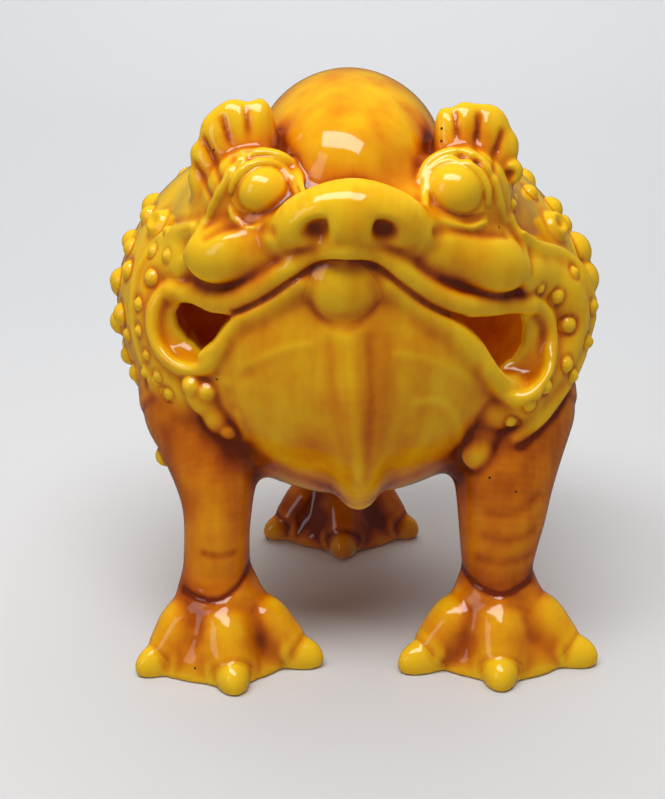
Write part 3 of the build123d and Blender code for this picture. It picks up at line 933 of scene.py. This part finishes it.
def sculpt():
    """The whole figure in clay."""
    low, high = np.array(CAD_BOX) / UNIT
    clay = Clay(low - ROOM, high + ROOM)
    build_body(clay)
    build_legs(clay)
    hollow_body(clay)
    build_crown(clay)
    build_jaw(clay)
    build_collars(clay)
    build_snout(clay)
    build_eyes(clay)
    build_cheeks(clay)
    build_crests(clay)
    build_mouth_corners(clay)
    build_lips(clay)
    build_lobes(clay)
    build_warts(clay)
    crease_legs(clay)
    open_mouth(clay)
    hand_finish(clay)
    stand_flat(clay)
    pool_glaze(clay)
    return clay


# ---------------------------------------------------------------- pieces

LAP = 2.0   # how far a piece runs on under its neighbours
DIP = 0.35  # how fast it dips under them
SKIRT = 6   # room round a form for what its piece laps


def part_piece(clay, node):
    """The points and faces of the closed piece that stands for one node."""
    forms = clay.claims[node]
    number = list(clay.claims).index(node)
    low = np.min([form.low for form in forms], axis=0) - SKIRT
    high = np.max([form.high for form in forms], axis=0) + SKIRT
    cells, _ = clay.block(low, high)
    shape = clay.field[cells].shape
    own = np.full(shape, FAR, np.float32)
    for form in forms:
        part, grids = clay.block(np.maximum(form.low - SKIRT, low), np.minimum(form.high + SKIRT, high))
        inside = tuple(slice(p.start - c.start, p.stop - c.start) for p, c in zip(part, cells))
        own[inside] = np.minimum(own[inside], form.distance(*grids))
    rest = np.where(clay.owner[cells] == number, clay.next[cells], clay.near[cells])
    seam = (own - rest) / 2
    solid = np.maximum(clay.field[cells] + DIP * np.maximum(seam, 0) ** 2, seam - LAP)
    solid = np.pad(solid, 1, constant_values=FAR).astype(np.float32)
    grid = openvdb.FloatGrid(FAR)
    grid.copyFromArray(solid)
    points, quads = grid.convertToQuads(0.0)
    start = np.array([c.start for c in cells])
    points = (points + start - 1) * CELL + clay.low
    return points, quads[:, ::-1]


def blurred(values, cells):
    """The values averaged over a box that reaches so many cells each way, twice."""
    for _ in range(2):
        for axis in range(3):
            edge = [(0, 0)] * 3
            edge[axis] = (cells + 1, cells)
            total = np.cumsum(np.pad(values, edge, mode="edge"), axis=axis, dtype=np.float64)
            size = values.shape[axis]
            width = 2 * cells + 1
            upper = np.take(total, range(width, width + size), axis=axis)
            lower = np.take(total, range(0, size), axis=axis)
            values = ((upper - lower) / width).astype(np.float32)
    return values


def put_in_scene(name, data):
    """A new object in the scene that shows this mesh, lamp or camera."""
    thing = bpy.data.objects.new(name, data)
    bpy.context.scene.collection.objects.link(thing)
    return thing


def make_piece(name, points, quads):
    """A smooth mesh object from points in sculpting millimetres and quads."""
    mesh = bpy.data.meshes.new(name)
    mesh.vertices.add(len(points))
    mesh.vertices.foreach_set("co", (points * UNIT).astype(np.float32).ravel())
    mesh.loops.add(4 * len(quads))
    mesh.loops.foreach_set("vertex_index", quads.astype(np.int32).ravel())
    mesh.polygons.add(len(quads))
    mesh.polygons.foreach_set("loop_start", np.arange(0, 4 * len(quads), 4, dtype=np.int32))
    mesh.polygons.foreach_set("use_smooth", np.ones(len(quads), bool))
    mesh.update(calc_edges=True)
    mesh.validate()
    return put_in_scene(name, mesh)


def paint(mesh, name, values):
    """Stores one number for each point, for the glaze to read."""
    mesh.attributes.new(name, "FLOAT", "POINT").data.foreach_set("value", np.asarray(values, np.float32))


# ---------------------------------------------------------------- glaze


class Nodes:
    """A short way to build a material's node tree."""

    def __init__(self, name):
        self.material = bpy.data.materials.new(name)
        self.material.use_nodes = True
        self.tree = self.material.node_tree
        self.tree.nodes.clear()

    def add(self, kind, inputs=None, **settings):
        """A node with its settings, and its inputs by name or number as values or links."""
        node = self.tree.nodes.new(kind)
        for key, value in settings.items():
            setattr(node, key, value)
        for key, value in (inputs or {}).items():
            if isinstance(value, bpy.types.NodeSocket):
                self.tree.links.new(value, node.inputs[key])
            else:
                node.inputs[key].default_value = value
        return node

    def math(self, operation, a, b=0.0, clamp=False):
        """A sum, product or comparison of two values."""
        return self.add("ShaderNodeMath", {0: a, 1: b}, operation=operation, use_clamp=clamp).outputs[0]

    def swing(self, value, amount):
        """A noise between 0 and 1 as one that swings about 0 by an amount."""
        return self.math("MULTIPLY", self.math("SUBTRACT", value, 0.5), amount)

    def attribute(self, name):
        """The number that paint() stored under a name."""
        return self.add("ShaderNodeAttribute", attribute_name=name).outputs["Fac"]

    def noise(self, scale, detail, stretch=None):
        """Soft noise in the place of the figure, drawn out where the stretch is below 1."""
        where = self.add("ShaderNodeTexCoord").outputs["Object"]
        if stretch:
            where = self.add("ShaderNodeMapping", {0: where, 3: stretch}).outputs[0]
        inputs = {"Vector": where, "Scale": scale, "Detail": detail}
        return self.add("ShaderNodeTexNoise", inputs).outputs["Fac"]

    def ramp(self, value, stops):
        """A colour that runs through the stops as the value rises."""
        node = self.add("ShaderNodeValToRGB", {"Fac": value})
        ramp = node.color_ramp
        while len(ramp.elements) < len(stops):
            ramp.elements.new(0.5)
        for element, (place, colour) in zip(ramp.elements, stops):
            element.position = place
            element.color = (*colour, 1)
        return node.outputs["Color"]


GLAZE_RAMP = (
    (0.00, (0.17, 0.020, 0.001)),
    (0.22, (0.42, 0.075, 0.001)),
    (0.42, (0.64, 0.165, 0.002)),
    (0.60, (0.78, 0.275, 0.003)),
    (0.80, (0.87, 0.41, 0.005)),
    (1.00, (0.93, 0.54, 0.012)),
)


MOTTLE_SCALE, CLOUD_SCALE, MOTTLE = 95.0, 28.0, 0.52  # fine and broad patches, and how strong both are
STREAK_SCALE, STREAK_STRETCH = 130.0, (1.0, 1.0, 0.14)
PINHOLE_SCALE, PINHOLE_R, PINHOLE_LEVEL = 120.0, 0.055, 0.86  # only cells above the level have one
PINHOLE_COLOUR = (0.06, 0.02, 0.006, 1)
RIPPLE_SCALE, RIPPLE_DEPTH = 150.0, 0.0006
GLAZE_IOR, GLAZE_ROUGHNESS = 1.54, 0.08


def glaze_material(name, lightness, streaks):
    """A thick clear glaze: dark where it pools or where shade is painted, bright where it is thin or where
    light is painted, with mottling and pinholes.
    """
    n = Nodes(name)
    mottle = n.swing(n.noise(MOTTLE_SCALE, 4.0), MOTTLE)
    cloud = n.swing(n.noise(CLOUD_SCALE, 2.0), MOTTLE)
    streak = n.swing(n.noise(STREAK_SCALE, 3.0, STREAK_STRETCH), streaks)
    patches = n.math("ADD", n.math("ADD", mottle, cloud), streak)
    value = n.math("ADD", n.math("ADD", n.attribute("depth"), lightness), patches)
    colour = n.ramp(value, GLAZE_RAMP)
    where = n.add("ShaderNodeTexCoord").outputs["Object"]
    cell = n.add("ShaderNodeTexVoronoi", {"Vector": where, "Scale": PINHOLE_SCALE})
    near = n.math("LESS_THAN", cell.outputs["Distance"], PINHOLE_R)
    pick = n.add("ShaderNodeSeparateColor", {0: cell.outputs["Color"]})
    few = n.math("GREATER_THAN", pick.outputs[0], PINHOLE_LEVEL)
    hole = n.math("MULTIPLY", near, few)
    mixed = n.add("ShaderNodeMix", {0: hole, 6: colour, 7: PINHOLE_COLOUR}, data_type="RGBA")
    ripple = {"Height": n.noise(RIPPLE_SCALE, 2.0), "Strength": 0.10, "Distance": RIPPLE_DEPTH}
    bump = n.add("ShaderNodeBump", ripple)
    bsdf = n.add("ShaderNodeBsdfPrincipled", {
        "Base Color": mixed.outputs[2], "Roughness": GLAZE_ROUGHNESS, "IOR": GLAZE_IOR,
        "Normal": bump.outputs[0],
    })
    n.add("ShaderNodeOutputMaterial", {0: bsdf.outputs[0]})
    return n.material


GLAZE_BASE = 0.56
CREASE_SHARE, CREASE_LIMITS = 0.55, (-0.8, 0.5)
SWELL_SHARE, SWELL_LIMITS = 0.20, (-1.2, 0.9)
PAINTED_TOP_LIGHT = 0.05  # what faces up is painted a little lighter: painted light from above
POOL_REACH = 3   # in widths of the pool


def glaze_depth_and_shading(clay, points, normals, creases, swells):
    """How thin the glaze lies at each point, from 0 where it pools to 1 where it runs off, with painted light
    added where the skin faces up.
    """
    crease = np.clip(clay.probe(points, creases), *CREASE_LIMITS)
    swell = np.clip(clay.probe(points, swells), *SWELL_LIMITS)
    # the last term is painted light: skin that faces up comes out lighter
    depth = GLAZE_BASE + CREASE_SHARE * crease + SWELL_SHARE * swell + PAINTED_TOP_LIGHT * normals[:, 2]
    for form, width, amount in clay.stains:
        reach = POOL_REACH * width
        close = ((points > form.low - reach) & (points < form.high + reach)).all(axis=1)
        gap = form.distance(*points[close].T.astype(np.float32))
        depth[close] -= amount * np.exp(-((gap / width) ** 2))
    return depth


TONES_AND_PAINTED_SHADING = {  # how much lighter each part of the figure is painted, fading over at the joints: mostly the glaze's own colour, with painted light and painted shade on some parts
    # the back shell is painted lighter: painted light from the lamps above
    "crown_dome": 0.04, "back_shell": 0.20, "belly_shell": -0.10, "head_shell": 0.05,
    "back_warts": 0.14, "snout": 0.06, "upper_lip": 0.04,
    # the hind leg, foot and claws are painted dark: painted shade under the body
    "hind_leg": -0.60, "hind_foot": -0.60, "hind_claws": -0.60,
}
SIDE_TONES_AND_PAINTED_SHADING = {
    # the front legs are painted darker: partly a deeper glaze, partly painted shade from the lamps above
    "front_leg": -0.33, "front_foot": -0.12, "front_claws": 0.06, "eye": 0.10, "eyelid": 0.08, "collar": 0.26,
    "collar_warts": 0.12, "flank_warts": 0.14, "cheek": 0.16, "brow_crest": 0.10, "mouth_corner": -0.10,
}
ACCENTS = {"chin_boss": 0.12, "hind_claws": 0.1, "back_warts": 0.08}  # on small parts, with a sharp edge
SIDE_ACCENTS = {
    "eye": 0.18, "eyelid": 0.06, "front_claws": 0.10, "collar_warts": 0.16, "flank_warts": 0.10,
}
FADE = 6.0
SKIN_BAND = 4.0  # depth either side of the skin that the crease and swell measures look at
CREASE_SPAN, CREASE_SCALE = 1.5, 0.45  # how far round a point to look, and the height that counts as 1
SWELL_SPAN, SWELL_SCALE = 4.5, 1.6
GLAZES = {  # lightness and strength of the streaks
    "amber_glaze": (0.0, 0.45),
    "ochre_glaze": (0.02, 0.55),
    "yellow_glaze": (0.10, 0.0),
}


def sided(names, side_names):
    """Both tables in one, with the second written out for either side."""
    found = dict(names)
    found.update({f"{side}_{kind}": tone for kind, tone in side_names.items() for side, _ in SIDES})
    return found


def make_pieces(clay):
    """Every node's piece, glazed and riding on the frame."""
    band = SKIN_BAND * np.tanh(clay.field / SKIN_BAND)
    creases = (blurred(band, max(1, round(CREASE_SPAN / CELL))) - band) / CREASE_SCALE
    swells = (blurred(band, max(2, round(SWELL_SPAN / CELL))) - band) / SWELL_SCALE
    glazes = {name: glaze_material(name, *look) for name, look in GLAZES.items()}
    slots = {part["node"]: part["material_slot"] for part in frame["record"]["subparts"]}
    tones_and_shading, accents = sided(TONES_AND_PAINTED_SHADING, SIDE_TONES_AND_PAINTED_SHADING), sided(ACCENTS, SIDE_ACCENTS)
    by_owner = np.array([tones_and_shading.get(node, 0.0) for node in clay.claims] + [0.0], np.float32)
    tone = blurred(by_owner[clay.owner], max(1, round(FADE / 2 / CELL)))
    for node in clay.claims:
        points, quads = part_piece(clay, node)
        piece = make_piece(f"{node}_clay", points, quads)
        normals = clay.normals(points)
        depth = glaze_depth_and_shading(clay, points, normals, creases, swells) + clay.probe(points, tone)
        # depth carries the glaze's pooling and thinning, together with painted light where the skin faces up
        # and the painted light and shade of the part tones
        paint(piece.data, "depth", depth + accents.get(node, 0.0))
        piece.data.materials.append(glazes[slots[node]])
        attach(piece, "root")
        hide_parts(node)


# ---------------------------------------------------------------- studio

CAMERA_TARGET = (-0.0065, -0.003, 0.0715)
CAMERA_DISTANCE, CAMERA_RISE, CAMERA_TURN = 0.561, 20.0, -1.5
LENS, SENSOR = 76.15, 36.0
SWEEP_FRONT, SWEEP_TURN, SWEEP_R, SWEEP_TOP, SWEEP_HALF = -0.34, 0.9, 0.8, 3.0, 0.65
SWEEP_SHADING_RAMP = (  # from the front of the floor to the backdrop, darker near the front and lighter up the backdrop: painted shade and painted light that even out how the lamps fall on the sweep
    (0.15, (0.632, 0.632, 0.632)), (0.38, (0.705, 0.71, 0.72)), (0.8, (0.93, 0.94, 0.96)),
)
LAMPS = (  # name, place, what it points at, width and height, power
    ("top_softbox", (-0.12, -0.28, 0.85), (0.0, -0.02, 0.12), (0.80, 0.34), 5.7),
    ("left_fill", (-1.0, -0.7, 0.6), (0.0, 0.0, 0.1), (0.4, 0.8), 1.5),
)
UNSEEN_LAMPS = (  # these leave no reflection in the glaze
    ("ceiling", (0.4, 0.3, 2.2), (0.4, 0.3, 0.0), (3.0, 3.0), 27.0),
    ("back_top", (0.0, 0.9, 1.1), (0.0, 0.2, 0.0), (1.4, 0.8), 4.8),
)
GLOW_AT = np.array([30.0, -16.0, 104.0]) * UNIT  # the light that finds its way into the hollow
GLOW_WAY, GLOW_SIZE, GLOW_POWER = (0.02, 0.006, 0.0), (0.02, 0.02), 0.011
GLOW_COLOUR = (1.0, 0.7, 0.4)
WORLD_COLOUR, WORLD_STRENGTH = (0.80, 0.82, 0.85, 1), 0.14


def build_floor():
    """A pale seamless sweep: a floor that curves up into a backdrop."""
    profile = [(SWEEP_FRONT, 0.0), (SWEEP_TURN, 0.0)]
    for t in np.linspace(0.1, math.pi / 2, 12):
        profile.append((SWEEP_TURN + SWEEP_R * math.sin(t), SWEEP_R - SWEEP_R * math.cos(t)))
    profile += [(SWEEP_TURN + SWEEP_R, SWEEP_TOP)]
    points = [(x, y, z) for x in (-SWEEP_HALF, SWEEP_HALF) for y, z in profile]
    count = len(profile)
    faces = [(k, k + 1, count + k + 1, count + k) for k in range(count - 1)]
    mesh = bpy.data.meshes.new("sweep")
    mesh.from_pydata(points, [], faces)
    mesh.polygons.foreach_set("use_smooth", [True] * len(faces))
    floor = put_in_scene("sweep", mesh)
    n = Nodes("sweep_paper")
    where = n.add("ShaderNodeSeparateXYZ", {0: n.add("ShaderNodeTexCoord").outputs["Object"]})
    depth = n.math("MULTIPLY", n.math("ADD", where.outputs[1], 0.4), 0.5, clamp=True)
    # the sweep's colour is painted shade near the front and painted light up the backdrop, evening out the
    # lamps
    tone = n.ramp(depth, SWEEP_SHADING_RAMP)
    bsdf = n.add("ShaderNodeBsdfPrincipled", {"Base Color": tone, "Roughness": 0.65})
    n.add("ShaderNodeOutputMaterial", {0: bsdf.outputs[0]})
    mesh.materials.append(n.material)
    floor.visible_glossy = False


def aim(thing, place, target):
    """Puts a lamp or a camera in its place and points it at a target."""
    way = np.array(target, float) - np.array(place, float)
    thing.location = place
    thing.rotation_euler = Vector(way).to_track_quat("-Z", "Y").to_euler()


def add_light(name, place, target, size, power, colour=(1, 1, 1)):
    """A rectangular soft light."""
    light = bpy.data.lights.new(name, "AREA")
    light.shape = "RECTANGLE"
    light.size, light.size_y = size
    light.energy = power
    light.color = colour
    thing = put_in_scene(name, light)
    aim(thing, place, target)
    return thing


def build_studio():
    """The sweep, the lamps and a dim grey world."""
    build_floor()
    for lamp in LAMPS:
        add_light(*lamp)
    unseen = [add_light(*lamp) for lamp in UNSEEN_LAMPS]
    unseen.append(add_light("hollow_glow", GLOW_AT, GLOW_AT + GLOW_WAY, GLOW_SIZE, GLOW_POWER, GLOW_COLOUR))
    for lamp in unseen:
        lamp.visible_glossy = False
    world = bpy.data.worlds.new("studio")
    world.use_nodes = True
    background = world.node_tree.nodes["Background"]
    background.inputs[0].default_value = WORLD_COLOUR
    background.inputs[1].default_value = WORLD_STRENGTH
    bpy.context.scene.world = world
    bpy.context.scene.view_settings.view_transform = "Standard"


def build_camera():
    """A portrait lens a little above the figure, looking down on its face."""
    place = np.array(CAMERA_TARGET) + outwards(CAMERA_TURN, CAMERA_RISE) * CAMERA_DISTANCE
    camera = bpy.data.cameras.new("camera")
    camera.lens, camera.sensor_width = LENS, SENSOR
    thing = put_in_scene("camera", camera)
    aim(thing, place, CAMERA_TARGET)
    bpy.context.scene.camera = thing


make_pieces(sculpt())
build_studio()
build_camera()
